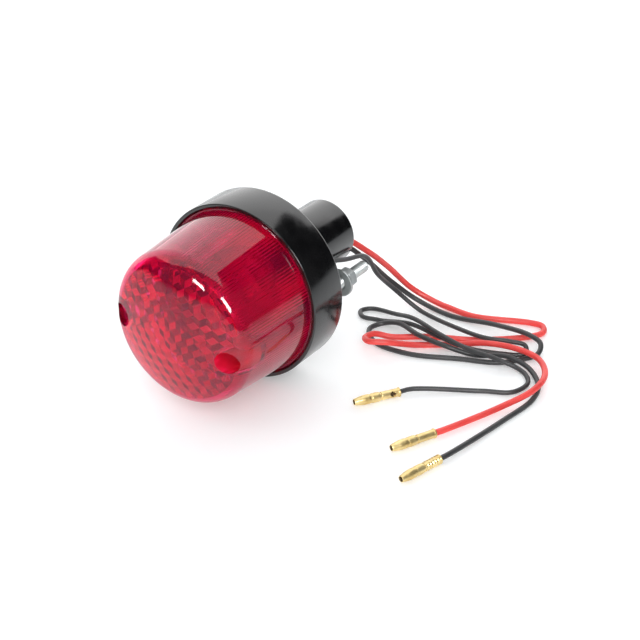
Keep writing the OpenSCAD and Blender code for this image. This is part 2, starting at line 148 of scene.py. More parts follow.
black_gloss = plastic("black_gloss", (0.003, 0.003, 0.0035), (0.007, 0.007, 0.0075), (0.11, 0.2),
                      1500, 3e-6, Specular_IOR_Level=0.8)
red_pvc = plastic("red_pvc", (0.78, 0.045, 0.04), (0.9, 0.075, 0.065), (0.36, 0.5), 2600, 1.2e-5)
black_pvc = plastic("black_pvc", (0.03, 0.03, 0.032), (0.05, 0.05, 0.052), (0.36, 0.52),
                    2600, 1.2e-5)
rubber = plastic("rubber", (0.015, 0.015, 0.016), (0.03, 0.03, 0.03), (0.55, 0.75), 3000, 2e-5)
fibre = plastic("fibre", (0.22, 0.03, 0.03), (0.4, 0.07, 0.06), (0.55, 0.75), 4000, 2e-5)
laminate = plastic("laminate", (0.2, 0.1, 0.05), (0.36, 0.2, 0.1), (0.4, 0.6), 2500, 1e-5)
bulb_black = plastic("bulb_black", (0.02, 0.02, 0.02), (0.04, 0.04, 0.045), (0.2, 0.35), 2000, 6e-6)
zinc = metal("zinc", (0.47, 0.5, 0.5), (0.6, 0.63, 0.63), (0.4, 0.55), (1, 0.2, 1),
             metallic=0.85)
tin = metal("tin", (0.55, 0.55, 0.54), (0.8, 0.8, 0.78), (0.22, 0.4))
satin = metal("satin", (0.66, 0.66, 0.66), (0.76, 0.76, 0.75), (0.3, 0.42), grain_height=3e-6)
holder_steel = metal("holder_steel", (0.55, 0.55, 0.54), (0.75, 0.75, 0.74), (0.2, 0.35),
                     (1, 0.1, 1))
nickel = metal("nickel", (0.55, 0.52, 0.46), (0.75, 0.72, 0.65), (0.16, 0.3), (1, 0.1, 1))
solder = metal("solder", (0.4, 0.41, 0.42), (0.6, 0.61, 0.62), (0.3, 0.5))
tungsten = metal("tungsten", (0.12, 0.12, 0.13), (0.3, 0.3, 0.31), (0.3, 0.5))
brass = metal("brass", (0.66, 0.47, 0.17), (0.9, 0.73, 0.37), (0.3, 0.46), grain=1800,
              metallic=0.85)
# Painted shade: a much darker brass for the bore and the deep part of the pressed hole
brass_painted_shade = metal("brass_painted_shade", (0.05, 0.03, 0.012), (0.14, 0.09, 0.04), (0.5, 0.7),
                     metallic=0.5)
contact_brass = metal("contact_brass", (0.6, 0.42, 0.16), (0.8, 0.62, 0.28), (0.2, 0.35))

lens_red = material("lens_red", (0.9, 0.016, 0.14), 0.02, Transmission_Weight=0.9, IOR=1.49,
                    Specular_IOR_Level=0.8)
ramp(lens_red, noise(lens_red, 120, 3), (0.86, 0.012, 0.125), (0.94, 0.020, 0.155), "Base Color")
bump(lens_red, noise(lens_red, 60, 2), 4e-6)
well_red = material("well_red", (0.94, 0.016, 0.07), 0.05, Transmission_Weight=0.45, IOR=1.49)
ramp(well_red, noise(well_red, 120, 3), (0.9, 0.012, 0.055), (0.98, 0.02, 0.08), "Base Color")
bulb_clear = material("bulb_clear", (0.97, 0.98, 0.98), 0.0, Transmission_Weight=1.0, IOR=1.45)
ramp(bulb_clear, noise(bulb_clear, 60, 2), 0.0, 0.03, "Roughness")


# ---------------------------------------------------------------- mesh tools

def add_object(name, data, paint, body, node):
    """A piece that rides on a body and replaces a node. Without paint it keeps its materials."""
    obj = bpy.data.objects.new(name, data)
    scene.collection.objects.link(obj)
    if paint:
        data.materials.clear()
        data.materials.append(paint)
    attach(obj, body)
    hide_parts(node)
    return obj


def rounded(profile, radius, closed=True, steps=3):
    """The profile with each corner cut by a small arc.

    A point may give its own radius as a third number.
    """
    out = []
    count = len(profile)
    for i, point in enumerate(profile):
        p = Vector(point[:2])
        r = point[2] if len(point) > 2 else radius
        if not closed and i in (0, count - 1) or r <= 0:
            out.append((p.x, p.y))
            continue
        a, b = Vector(profile[i - 1][:2]), Vector(profile[(i + 1) % count][:2])
        u, v = (a - p), (b - p)
        cut = min(r, 0.45 * u.length, 0.45 * v.length)
        u, v = p + u.normalized() * cut, p + v.normalized() * cut
        for k in range(steps + 1):
            t = k / steps
            q = u * (1 - t) ** 2 + p * 2 * t * (1 - t) + v * t * t
            out.append((q.x, q.y))
    return out


def bands(rings):
    """Faces between neighbouring rings of equally many corners.

    A ring may be one corner, repeated.
    """
    faces = []
    for a, b in zip(rings, rings[1:]):
        for k in range(len(a)):
            n = (k + 1) % len(a)
            face = [a[k], a[n], b[n], b[k]]
            face = [v for j, v in enumerate(face) if v not in face[:j]]
            if len(face) > 2:
                faces.append(face)
    return faces


def make_mesh(name, verts, faces, sharp=40):
    """A finished mesh from its corners and faces."""
    mesh = bpy.data.meshes.new(name)
    mesh.from_pydata(verts, [], faces)
    return finish_mesh(mesh, sharp)


def finish_mesh(mesh, sharp=40, recalc=True):
    """Smooth faces turned outward, with edges kept sharp where they bend more than the angle."""
    bm = bmesh.new()
    bm.from_mesh(mesh)
    bmesh.ops.remove_doubles(bm, verts=bm.verts, dist=2e-7)
    if recalc:
        bmesh.ops.recalc_face_normals(bm, faces=bm.faces)
    limit = math.radians(sharp)
    for face in bm.faces:
        face.smooth = True
    for edge in bm.edges:
        edge.smooth = len(edge.link_faces) == 2 and edge.calc_face_angle(0) < limit
    bm.to_mesh(mesh)
    bm.free()
    mesh.update()
    return mesh


def turned_rings(rows, centre):
    """Corners and rings of a form turned round an axis that runs along the lamp.

    A row is its depth and its radius at each angle. A row on the axis is one corner, repeated.
    """
    verts, rings = [], []
    for depth, radii in rows:
        count = len(radii)
        if max(radii) < ON_AXIS:
            rings.append([len(verts)] * count)
            verts.append(at(centre[0], depth, centre[1]))
            continue
        rings.append(list(range(len(verts), len(verts) + count)))
        for k, r in enumerate(radii):
            a = TAU * k / count
            verts.append(at(centre[0] + r * math.sin(a), depth, centre[1] + r * math.cos(a)))
    return verts, rings


def lathe(name, profile, centre=(0.0, AXIS), count=96):
    """A closed profile of radius and depth turned round an axis. Its ends may lie on the axis."""
    verts, rings = turned_rings([(depth, [r] * count) for r, depth in profile], centre)
    return make_mesh(name, verts, bands(rings + rings[:1]))


def box_mesh(name, low, high):
    """A plain block between two corners given as across, depth, height."""
    (x0, y0, z0), (x1, y1, z1) = low, high
    verts = [at(x, y, z) for x in (x0, x1) for y in (y0, y1) for z in (z0, z1)]
    faces = [(0, 1, 3, 2), (4, 6, 7, 5), (0, 4, 5, 1), (2, 3, 7, 6), (0, 2, 6, 4), (1, 5, 7, 3)]
    return make_mesh(name, verts, faces)


def turned(mesh, angle, x, z):
    """Turns a mesh about an axis along the lamp through x and z."""
    c, s = math.cos(angle), math.sin(angle)
    x, z = x * MM, z * MM
    for v in mesh.vertices:
        dx, dz = v.co.x - x, v.co.z - z
        v.co.x, v.co.z = x + c * dx - s * dz, z + s * dx + c * dz
    return mesh


def combine(base, others, operation, sharp=40):
    """base with the other closed meshes joined to it or cut from it."""
    holder = bpy.data.objects.new("work", base)
    scene.collection.objects.link(holder)
    tools = []
    for mesh in others:
        tool = bpy.data.objects.new("tool", mesh)
        scene.collection.objects.link(tool)
        tools.append(tool)
        cut = holder.modifiers.new("cut", "BOOLEAN")
        cut.operation = operation
        cut.object = tool
        cut.solver = "MANIFOLD"
    bpy.context.view_layer.update()
    depsgraph = bpy.context.evaluated_depsgraph_get()
    result = bpy.data.meshes.new_from_object(holder.evaluated_get(depsgraph))
    bpy.data.objects.remove(holder)
    for tool in tools:
        bpy.data.objects.remove(tool)
    return finish_mesh(result, sharp, recalc=False)


# ---------------------------------------------------------------- leads

# The points of the leads' solids: across, depth and height in mm
RED_ROUTE = [
    (14.503, 50, 42.5), (14.503, 56, 42.5), (20.5, 65, 34.5), (23, 78, 22), (28.5, 90, 7.5),
    (42, 93.5, 1.8), (58, 93.5, 1.3), (81, 102.5, 1.3), (86.5, 102.8, 1.3), (89.3, 98, 1.3),
    (86, 91.5, 1.3), (68, 76, 1.3), (50, 67, 1.3), (38.5, 57, 2.2), (32.6, 51.9, 4.3),
    (31.6, 46.4, 4.8), (35.2, 43.4, 5.6), (41.5, 46.3, 5.8), (49.5, 56.5, 2.2), (62, 67, 1.3),
    (75, 72.2, 3.9), (88, 75, 4.4), (100, 73, 4.3), (108, 63.5, 4.2), (109.5, 50, 4.2),
    (103.5, 35.5, 2.2), (93.1, 9, 2), (91, 4.5, 2)]
BLACK_ROUTE = [
    (14.003, 50, 39.4), (14.003, 56, 39.4), (19.5, 66, 29.5), (22.5, 79.5, 15), (32, 88.5, 3.6),
    (50, 88.5, 1.1), (70, 90, 2.8), (88, 87.8, 4.6), (94.5, 85.6, 3.6), (96, 80.5, 1.6),
    (92.5, 74, 1.1), (85, 65.5, 1.1), (70, 59, 1.1), (52, 51, 1.1), (36.5, 49.9, 1.1),
    (29.2, 54, 1.1), (25.7, 59.8, 1.1), (28.8, 65.3, 1.8), (36.8, 65.2, 4.4), (49, 61, 4.8),
    (62, 60.3, 4.3), (74.5, 65, 1.5), (88, 67.5, 4.2), (98, 67.5, 2.4), (107, 60, 1.1),
    (110.5, 48, 1.1), (108, 28, 1.1), (102.8, -4.7, 2), (101.5, -9.5, 2)]
EARTH_ROUTE = [
    (25.113, 21.2, 44.5), (25.113, 21.2, 46.8), (25.1, 24.5, 49), (25.1, 32, 46),
    (25.1, 41, 42.6), (25.1, 50, 40.1), (25, 54.5, 38.3), (24.9, 59, 34.6), (24.6, 66, 24.8),
    (26, 78, 12.2), (38, 82.5, 2.4), (58, 77.3, 3.5), (73, 75.4, 4.4), (84, 79.2, 4.2),
    (89.5, 81, 3.4), (91.5, 78.5, 1.6), (88.5, 75.5, 1), (82, 72.6, 1), (70.5, 66.6, 2.6),
    (58, 65, 4.4), (41, 68, 4.1), (25.5, 67.8, 1), (17.5, 66.3, 1), (14, 70.2, 1),
    (17, 74.5, 1), (29, 74.2, 2.4), (42, 69, 6.6), (58, 63.5, 6.9), (72, 62.3, 5.2),
    (86, 63.5, 4.1), (97, 65, 1.2), (103, 58.5, 1), (101, 49, 1), (90, 42.5, 1),
    (67.1, 26.8, 2), (64, 22, 2)]
LEAD_STEPS = 12   # straight pieces between two points of a route


def lead(name, node, route, radius, paint):
    """One lead: a smooth curve through its route, never under the table."""
    points = [at(*p) for p in route]
    points = [2 * points[0] - points[1]] + points + [2 * points[-1] - points[-2]]
    gap = [(b - a).length ** 0.5 for a, b in zip(points, points[1:])]
    curve = bpy.data.curves.new(name, "CURVE")
    curve.dimensions = "3D"
    spline = curve.splines.new("BEZIER")
    spline.bezier_points.add(len(route) - 1)
    for knot, point in zip(spline.bezier_points, points[1:]):
        knot.co = point
        knot.handle_left_type = knot.handle_right_type = "FREE"
        knot.handle_left = knot.handle_right = point
    for i in range(1, len(route)):
        before, a, b, after = points[i - 1:i + 3]
        d0, d1, d2 = gap[i - 1:i + 2]
        leaving = ((a - before) / d0 - (b - before) / (d0 + d1) + (b - a) / d1) * d1
        arriving = ((b - a) / d1 - (after - a) / (d1 + d2) + (after - b) / d2) * d1
        first, second = spline.bezier_points[i - 1], spline.bezier_points[i]
        one, two = a + leaving / 3, b - arriving / 3
        one.z, two.z = max(one.z, radius * MM), max(two.z, radius * MM)
        first.handle_right, second.handle_left = one, two
        steps = interpolate_bezier(a, one, two, b, LEAD_STEPS + 1)
    curve.resolution_u = LEAD_STEPS
    curve.bevel_depth = radius * MM
    curve.bevel_resolution = 5
    curve.use_fill_caps = True
    obj = add_object(name, curve, paint, "housing", node)


# A bullet connector: lengths from its mouth and radii in mm, angles round it in radians
BULLET_LENGTH, BULLET_R, BARREL_R = 20.0, 2.0, 1.82
BULLET_OUTLINE = [
    (0.0, 1.9), (0.15, 1.99), (0.55, 1.97), (0.9, BARREL_R), (7.9, BARREL_R),
    (8.2, BARREL_R - 0.08), (8.35, 1.5), (8.75, 1.5), (8.9, 1.85), (9.3, 1.96), (9.8, BULLET_R),
    (12.2, BULLET_R), (12.5, 1.9), (12.9, 1.86), (13.3, 1.9), (13.6, BULLET_R), (15.8, BULLET_R),
    (16.6, 1.93), (18.2, 1.66), (19.4, 1.44), (19.8, 1.36), (BULLET_LENGTH, 1.26)]
BULLET_BORE = [(BULLET_LENGTH, 1.08), (19.8, 0.98), (12.2, 0.95), (12.0, 0.0)]
BARREL_START, BARREL_END, BARREL_FADE = 0.6, 8.0, 0.4
SEAM_ANGLE, SEAM_WIDE, SEAM_DEEP = 2.2, 0.12, 0.2
CRIMP_PITCH, CRIMP_DEEP, CRIMP_SINK = 1.3, 0.17, 0.03
SQUEEZE, SQUEEZE_ANGLE = 0.05, 1.0
HOLE_AT, HOLE_ANGLE, HOLE_R, HOLE_EDGE, HOLE_DEEP = 3.5, 1.2, 1.15, 0.12, 0.9
HOLE_DARK = 0.6   # deeper than this the hole gets painted shade, a much darker brass


def barrel_radius(x, a, r, crimped, holed):
    """The radius r of the rolled barrel with its seam, its crimps or squeeze, and its hole."""
    pressed = r
    fade = min(1.0, (x - BARREL_START) / BARREL_FADE, (BARREL_END - x) / BARREL_FADE)
    pressed -= SEAM_DEEP * fade * math.exp(-((a - SEAM_ANGLE) / SEAM_WIDE) ** 2)
    if crimped:
        pressed += fade * (CRIMP_DEEP * math.sin(TAU * x / CRIMP_PITCH) - CRIMP_SINK)
    else:
        pressed *= 1 - SQUEEZE * fade * (1 - math.cos(2 * (a + SQUEEZE_ANGLE))) * 0.5
    if holed:
        around = ((a + HOLE_ANGLE + math.pi) % TAU - math.pi) * r
        inside = HOLE_R - math.hypot(x - HOLE_AT, around)
        pressed -= HOLE_DEEP * max(0.0, min(1.0, inside / HOLE_EDGE))
    return pressed


def bullet(name, node, place, turn, wire_r, crimped=False, holed=False):
    """A pressed bullet connector, built along X from its mouth and then laid down."""
    count, spacing = 48, 0.2
    stations = [(0.8, 0.0), (0.8, wire_r - 0.12), (0.0, wire_r - 0.02)]
    mouth = len(stations)
    for (x0, r0), (x1, r1) in zip(BULLET_OUTLINE, BULLET_OUTLINE[1:]):
        parts = max(1, int((x1 - x0) / spacing))
        stations += [(x0 + (x1 - x0) * i / parts, r0 + (r1 - r0) * i / parts) for i in range(parts)]
    stations.append(BULLET_OUTLINE[-1])
    skin = len(stations)
    stations += BULLET_BORE
    verts, in_hole = [], set()
    for i, (x, r) in enumerate(stations):
        on_barrel = mouth <= i < skin and BARREL_START < x < BARREL_END
        for k in range(count):
            a = TAU * k / count
            rr = barrel_radius(x, a, r, crimped, holed) if on_barrel else r
            if rr < r - HOLE_DARK:
                in_hole.add(len(verts))
            verts.append((x, -rr * math.sin(a), rr * math.cos(a)))
    faces = bands([list(range(i * count, i * count + count)) for i in range(len(stations))])
    # Faces in the bore and deep in the pressed hole take the painted shade
    inner = [n // count >= skin or sum(v in in_hole for v in face) > 1
             for n, face in enumerate(faces)]
    c, s = math.cos(math.radians(turn)), math.sin(math.radians(turn))
    lying = [at(place[0] + x * c - y * s, place[1] + x * s + y * c, BULLET_R + z)
             for x, y, z in verts]
    mesh = bpy.data.meshes.new(name)
    mesh.from_pydata(lying, [], faces)
    mesh.materials.append(brass)
    mesh.materials.append(brass_painted_shade)
    mesh.polygons.foreach_set("material_index", [int(v) for v in inner])
    return add_object(name, finish_mesh(mesh, 35), None, "housing", node)


RED_R, BLACK_R, EARTH_R = 1.3, 1.1, 1.0   # the leads' radii, mm
connectors = [
    bullet("red_connector", "red_bullet", (91, 4.5), -115, RED_R),
    bullet("black_connector", "black_bullet", (101.5, -9.5), -105, BLACK_R, crimped=True),
    bullet("earth_connector", "earth_bullet", (64, 22), -123, EARTH_R, holed=True)]
lead("red_sheath", "red_lead", RED_ROUTE, RED_R, red_pvc)
lead("black_sheath", "black_lead", BLACK_ROUTE, BLACK_R, black_pvc)
lead("earth_sheath", "earth_lead", EARTH_ROUTE, EARTH_R, black_pvc)


# ---------------------------------------------------------------- lens

FRONT, SEAT = -45.0, 3.3                       # depths of the face's middle and the flange's back
ROOT_R, FRONT_R, FLANGE_R = 35.0, 32.5, 35.9   # outside at the ring, at the face, and the flange
EDGE_R, DOME_R, WALL = 8.0, 75.0, 2.5          # radii of the edge and the dome, and the thickness
RIGHT_BOLT_R, LEFT_BOLT_R = 25.5, 26.5         # from the lamp's axis to each bolt
ROLL = {"right": math.radians(10), "left": 0.0}
BOLTS = {"right": (RIGHT_BOLT_R * math.cos(ROLL["right"]),
                   AXIS - RIGHT_BOLT_R * math.sin(ROLL["right"])),
         "left": (-LEFT_BOLT_R, AXIS)}
WELL_R, WELL_FLOOR = 4.7, FRONT + 18.7
HOLE_CLEAR_R = 2.8    # of the holes that the bolts pass through
STUB = (9.503, 48.0)  # the stub's axis, across and up
FLUTES = 160          # ribs along the inside of the wall
FLUTE_DEEP = 0.15
PRISM = 5.2           # pitch of the prisms across the face
PRISM_STEP = 0.62     # depth between the three levels of a prism's corners
PRISM_LOW = 0.3       # depth of the lowest level behind the face's inner side
PRISM_ROOT = 1.0      # how far the prisms reach into the face
PRISM_FIELD_R = 28.0  # of the round plate that they fill


def lens_outline(inset):
    """Radius and depth from the middle of the face to the root, drawn in by inset.

    A dome runs smoothly into the rounded edge. The edge's depth is given as well.
    """
    edge = EDGE_R - 0.6 * inset
    edge_x, dome = FRONT_R - inset - edge, DOME_R - inset
    tilt = math.asin(edge_x / (dome - edge))
    edge_y = FRONT + DOME_R - (dome - edge) * math.cos(tilt)
    dome_steps, edge_steps, run_on = 12, 14, 0.5
    line = []
    for i in range(dome_steps + 1):
        a = tilt * i / dome_steps
        line.append((dome * math.sin(a), FRONT + DOME_R - dome * math.cos(a)))
    for i in range(1, edge_steps + 1):
        a = tilt + (math.pi / 2 - tilt) * i / edge_steps
        line.append((edge_x + edge * math.sin(a), edge_y - edge * math.cos(a)))
    slope = (ROOT_R - inset - line[-1][0]) / -edge_y
    line.append((line[-1][0] + run_on * slope, edge_y + run_on))
    return line, edge_y


def solid_lens(inset, end):
    """The lens's outline filled, for keeping what is joined to it inside its wall."""
    line = lens_outline(inset)[0] + [(ROOT_R - inset, 0), (ROOT_R - inset, end), (0, end)]
    return lathe("solid_lens", line, count=180)


def prism_plate(radius):
    """Reflex prisms inside the front face, clipped to a round plate.

    They stand on a triangular grid of three levels, with three flat faces round each high point.
    """
    step = PRISM / math.sqrt(3)
    size = int(radius / step) + 4
    dome = DOME_R - WALL
    place, level = {}, {}
    for i in range(-2 * size, 2 * size + 1):
        for j in range(-size, size + 1):
            x, z = j * step * math.sqrt(3) / 2, (i + j / 2) * step
            if math.hypot(x, z) < radius + 2.5 * step:
                place[i, j] = (x, z, FRONT + DOME_R - math.sqrt(dome * dome - x * x - z * z))
                level[i, j] = (i - j) % 3
    quads = []
    for (i, j), kind in level.items():
        if kind:
            continue
        around = [(i + 1, j), (i, j + 1), (i - 1, j + 1),
                  (i - 1, j), (i, j - 1), (i + 1, j - 1)]
        for k, other in enumerate(around):
            quad = [(i, j), around[k - 1], other, around[(k + 1) % 6]]
            if level.get(other) == 2 and all(p in place for p in quad):
                quads.append(quad)
    used = sorted({p for quad in quads for p in quad})
    order = {p: n for n, p in enumerate(used)}
    height = {0: PRISM_LOW + 2 * PRISM_STEP, 1: PRISM_LOW + PRISM_STEP, 2: PRISM_LOW}
    verts = [at(place[p][0], place[p][2] + height[level[p]], AXIS + place[p][1]) for p in used]
    verts += [at(place[p][0], place[p][2] - PRISM_ROOT, AXIS + place[p][1]) for p in used]
    faces, sides = [], {}
    for quad in quads:
        ids = [order[p] for p in quad]
        faces += [ids, [n + len(used) for n in reversed(ids)]]
        for a, b in zip(ids, ids[1:] + ids[:1]):
            if sides.pop((b, a), None) is None:
                sides[a, b] = True
    faces += [(b, a, a + len(used), b + len(used)) for a, b in sides]
    plate = make_mesh("prisms", verts, faces, 5)
    back = FRONT + 16
    limit = lathe("round", [(0, FRONT), (radius, FRONT), (radius, back), (0, back)], count=180)
    return combine(plate, [limit], "INTERSECT", 5)


def lens_mesh():
    """The lens's cup with its flange, the flutes inside its wall and the prisms inside its face."""
    count = 6 * FLUTES
    outer = lens_outline(0)[0]
    outer += [(ROOT_R - 0.087, -0.3), (ROOT_R - 0.05, 0.2), (ROOT_R + 0.1, 0.7),
              (FLANGE_R - 0.25, 0.8), (FLANGE_R, 1.05), (FLANGE_R, SEAT - 0.2),
              (FLANGE_R - 0.2, SEAT)]
    inner, edge_y = lens_outline(WALL)
    root, wall_steps = (ROOT_R - WALL, SEAT - 0.3), 12
    wall = [(root[0] - 0.2, SEAT), root]
    for i in range(1, wall_steps):
        wall.append(tuple(a + (b - a) * i / wall_steps for a, b in zip(root, inner[-1])))
    wall += inner[::-1]
    angles = np.arange(count) * TAU / count
    flute = 0.5 - 0.5 * np.cos(angles * FLUTES)
    verts, index = [], []
    for n, (r, depth) in enumerate(outer + wall):
        if r < ON_AXIS:
            index.append([len(verts)] * count)
            verts.append(at(0, depth, AXIS))
            continue
        radius = np.full(count, r)
        if n >= len(outer) and edge_y - 3 < depth < SEAT - 1:
            radius = radius + FLUTE_DEEP * flute
        index.append(list(range(len(verts), len(verts) + count)))
        across, up = radius * np.sin(angles), AXIS + radius * np.cos(angles)
        verts += [at(a, depth, b) for a, b in zip(across, up)]
    body = make_mesh("lens_body", verts, bands(index), 30)
    return combine(body, [prism_plate(PRISM_FIELD_R)], "UNION", 30)


def lens():
    """The lens with its two screw wells.

    The right well, which the camera looks into, has a plainer red of its own.
    """
    body = lens_mesh()
    wide, narrow, clear = WELL_R + 1.7, 4.5, HOLE_CLEAR_R
    tube_line = [
        (0, FRONT + 1), (wide, FRONT + 1), (wide, WELL_FLOOR + 1.6), (wide - 0.4, WELL_FLOOR + 2),
        (narrow, WELL_FLOOR + 2.01), (narrow, SEAT - 0.2), (narrow - 0.2, SEAT), (0, SEAT)]
    well_line = [
        (0, FRONT - 2), (WELL_R, FRONT - 2), (WELL_R, WELL_FLOOR - 0.3), (WELL_R - 0.3, WELL_FLOOR),
        (clear, WELL_FLOOR + 0.01), (clear, SEAT + 2), (0, SEAT + 2)]
    tubes = [lathe("tube", tube_line, centre, 64) for centre in BOLTS.values()]
    holes = [lathe("well", well_line, centre, 64) for centre in BOLTS.values()]
    tubes = [combine(tube, [solid_lens(1.2, SEAT + 1)], "INTERSECT") for tube in tubes]
    body = combine(body, tubes, "UNION", 30)
    body = combine(body, holes, "DIFFERENCE", 30)
    body.materials.clear()
    body.materials.append(lens_red)
    body.materials.append(well_red)
    x, z = BOLTS["right"]
    for face in body.polygons:
        c = face.center / MM
        inside = math.hypot(c.x - x, c.z - z) < WELL_R + 0.05 and c.y + MID < WELL_FLOOR - 0.1
        face.material_index = int(inside)
    add_object("lens_glass", body, None, "lens", "lens")


lens()


# ---------------------------------------------------------------- housing

RING_R, RING_INNER_R, LEDGE_R = 38.0, 36.2, 33.0   # the ledge inside carries the lens's flange
PLATE_FRONT, PLATE_BACK = 17.5, 19.5
STUB_R, STUB_BORE_R, STUB_END = 13.8, 12.0, 50.0
SOCKET_R = 11.9   # of the opening in the plate that the bulb stands in
BOSS_R, BOSS_FRONT = 4.5, 3.6


def housing():
    """The ring, its back plate with two bosses, and the stub. Third numbers are corner radii."""
    ring_line = [
        (0, PLATE_BACK, 0), (RING_R, PLATE_BACK, 1.0), (RING_R, 0, 0.45), (RING_INNER_R, 0, 0.5),
        (RING_INNER_R, 4.8, 0.2), (LEDGE_R, 4.8, 0.25), (LEDGE_R, 6.3, 0.2),
        (RING_INNER_R, 7.8, 0.6), (RING_INNER_R, PLATE_FRONT, 0.5), (0, PLATE_FRONT, 0)]
    stub_line = [
        (0, 18.2, 0), (STUB_R + 0.8, 18.2, 0), (STUB_R, 20.2, 0.5), (STUB_R, STUB_END, 0.9),
        (STUB_BORE_R, STUB_END, 0.3), (STUB_BORE_R, STUB_END - 1, 0.1), (STUB_BORE_R, 20, 0),
        (0, 20, 0)]
    boss_line = [(0, BOSS_FRONT, 0), (BOSS_R, BOSS_FRONT, 0.3), (BOSS_R, 18, 0), (0, 18, 0)]
    hole_line = [
        (0, 0), (HOLE_CLEAR_R, 0), (HOLE_CLEAR_R, 19.2), (HOLE_CLEAR_R + 0.4, 19.6),
        (HOLE_CLEAR_R + 0.4, 22), (0, 22)]
    socket_line = [(0, 16), (SOCKET_R, 16), (SOCKET_R, 20.5), (0, 20.5)]
    shell = lathe("ring", rounded(ring_line, 0.3), count=200)
    stub = lathe("stub", rounded(stub_line, 0.3), STUB, 120)
    bosses = [lathe("boss", rounded(boss_line, 0.3), centre, 48) for centre in BOLTS.values()]
    shell = combine(shell, [stub] + bosses, "UNION")
    holes = [lathe("hole", hole_line, centre, 48) for centre in BOLTS.values()]
    holes.append(lathe("socket", socket_line, STUB, 120))
    shell = combine(shell, holes, "DIFFERENCE")
    add_object("shell", shell, black_gloss, "housing", "housing")


housing()


# ---------------------------------------------------------------- bolts, nuts and washers

# Depths, radii and lengths in mm, angles in degrees
HEAD_SEAT = -27.3                          # depth of the underside of the bolts' heads
HEAD_R, HEAD_DEEP, HEAD_EDGE = 4.3, 2.8, 0.5
CROSS_LONG, CROSS_WIDE, CROSS_DEEP = 4.8, 1.0, 1.8
CROSS_ANGLES = (20, 110)
SHANK_R, SHANK_END = 2.35, 22.0
THREAD_R, THREAD_DEEP, THREAD_START, TAIL = 2.5, 0.42, 22.4, 55.0
PITCH = 0.8
WASHER_LOW, SPRING_LOW, NUT_LOW, NUT_HIGH = 36.2, 37.4, 38.7, 43.2
WASHER_R, FLATS = 6.0, 8.0
SPRING_INNER_R, SPRING_R, SPRING_THICK = 2.7, 4.5, 0.95
SPRING_START, SPRING_TURN = 41, 348        # degrees: the gap is what the turn leaves


def thread_rings(start, end, top_r, depth, count, lead_in=0.6):
    """Rows of a screw thread on a rod, each its depth and its radius at each angle."""
    step, crest, flank = PITCH / 8, 0.08, 0.8
    rows = []
    n = int(round((end - start) / step))
    for i in range(n + 1):
        y = start + (end - start) * i / n
        row = []
        for k in range(count):
            phase = (y / PITCH - k / count) % 1
            wave = abs(phase - 0.5) * 2
            wave = min(1, max(0, (wave - crest) / flank))
            r = top_r - depth * (1 - wave)
            r = min(r, top_r - max(0.0, lead_in - (end - y)))
            row.append(r)
        rows.append((y, row))
    return rows


def bolt(side):
    """A long bolt: a head with a cross slot at the bottom of its well, a shank and a thread."""
    x, z = BOLTS[side]
    count, top = 32, HEAD_SEAT - HEAD_DEEP
    head = rounded([(0, top), (HEAD_R - 0.4, top), (HEAD_R, top + HEAD_EDGE), (HEAD_R, HEAD_SEAT),
                    (SHANK_R + 0.1, HEAD_SEAT)], 0.25, closed=False)
    rows = [(d, [r] * count) for r, d in head]
    rows += [(HEAD_SEAT + 0.4, [SHANK_R] * count), (SHANK_END, [SHANK_R] * count)]
    rows += thread_rings(THREAD_START, TAIL, THREAD_R, THREAD_DEEP, count)
    rows.append((TAIL, [0.0] * count))
    verts, rings = turned_rings(rows, (x, z))
    mesh = make_mesh("bolt", verts, bands(rings), 50)
    low = (x - CROSS_LONG / 2, top - 1.2, z - CROSS_WIDE / 2)
    high = (x + CROSS_LONG / 2, top + CROSS_DEEP, z + CROSS_WIDE / 2)
    slots = [turned(box_mesh("slot", low, high), math.radians(a), x, z) for a in CROSS_ANGLES]
    mesh = combine(mesh, slots, "DIFFERENCE", 50)
    add_object("bolt_%s_screw" % side, mesh, zinc, "lens", "bolt_" + side)


def nut(side):
    """A hexagon nut with its corners turned down at both ends, and a countersunk bore."""
    x, z = BOLTS[side]
    low, high, inner = NUT_LOW, NUT_HIGH, FLATS / 2
    corner = inner / math.cos(math.pi / 6)
    angles = [math.pi / 3 * k + ROLL[side] for k in range(6)]
    verts = [at(x + corner * math.cos(a), y, z - corner * math.sin(a))
             for y in (low, high) for a in angles]
    faces = [(5, 4, 3, 2, 1, 0), (6, 7, 8, 9, 10, 11)]
    faces += [(k, (k + 1) % 6, (k + 1) % 6 + 6, k + 6) for k in range(6)]
    cone_line = [(0, low), (inner - 0.1, low), (corner + 0.15, low + 0.75),
                 (corner + 0.15, high - 0.75), (inner - 0.1, high), (0, high)]
    bore_line = [(0, low - 1), (2.8, low - 1), (2.8, low - 0.01), (2.55, low + 0.5),
                 (2.55, high - 0.5), (2.9, high), (2.9, high + 1), (0, high + 1)]
    mesh = make_mesh("hexagon", verts, faces)
    mesh = combine(mesh, [lathe("cone", cone_line, (x, z), 72)], "INTERSECT", 25)
    mesh = combine(mesh, [lathe("bore", bore_line, (x, z), 48)], "DIFFERENCE", 25)
    add_object("nut_%s_hex" % side, mesh, zinc, "nut_" + side, "nut_" + side)


def spring_washer(side):
    """A square section swept along a helix, with a gap between its ends."""
    x, z = BOLTS[side]
    steps, rise = 72, NUT_LOW - SPRING_LOW - SPRING_THICK
    section = rounded([(SPRING_INNER_R, 0), (SPRING_R, 0), (SPRING_R, SPRING_THICK),
                       (SPRING_INNER_R, SPRING_THICK)], 0.18, steps=2)
    count = len(section)
    verts = []
    for i in range(steps + 1):
        t = i / steps
        a = math.radians(SPRING_START + SPRING_TURN * t)
        lift = SPRING_LOW + rise * t
        for r, d in section:
            verts.append(at(x + r * math.cos(a), lift + d, z + r * math.sin(a)))
    rings = [list(range(i * count, i * count + count)) for i in range(steps + 1)]
    mesh = make_mesh("spring_ring", verts, bands(rings) + [rings[0][::-1], rings[-1]], 35)
    add_object("spring_ring_" + side, mesh, zinc, "washers_" + side,
               "spring_washer_" + side)


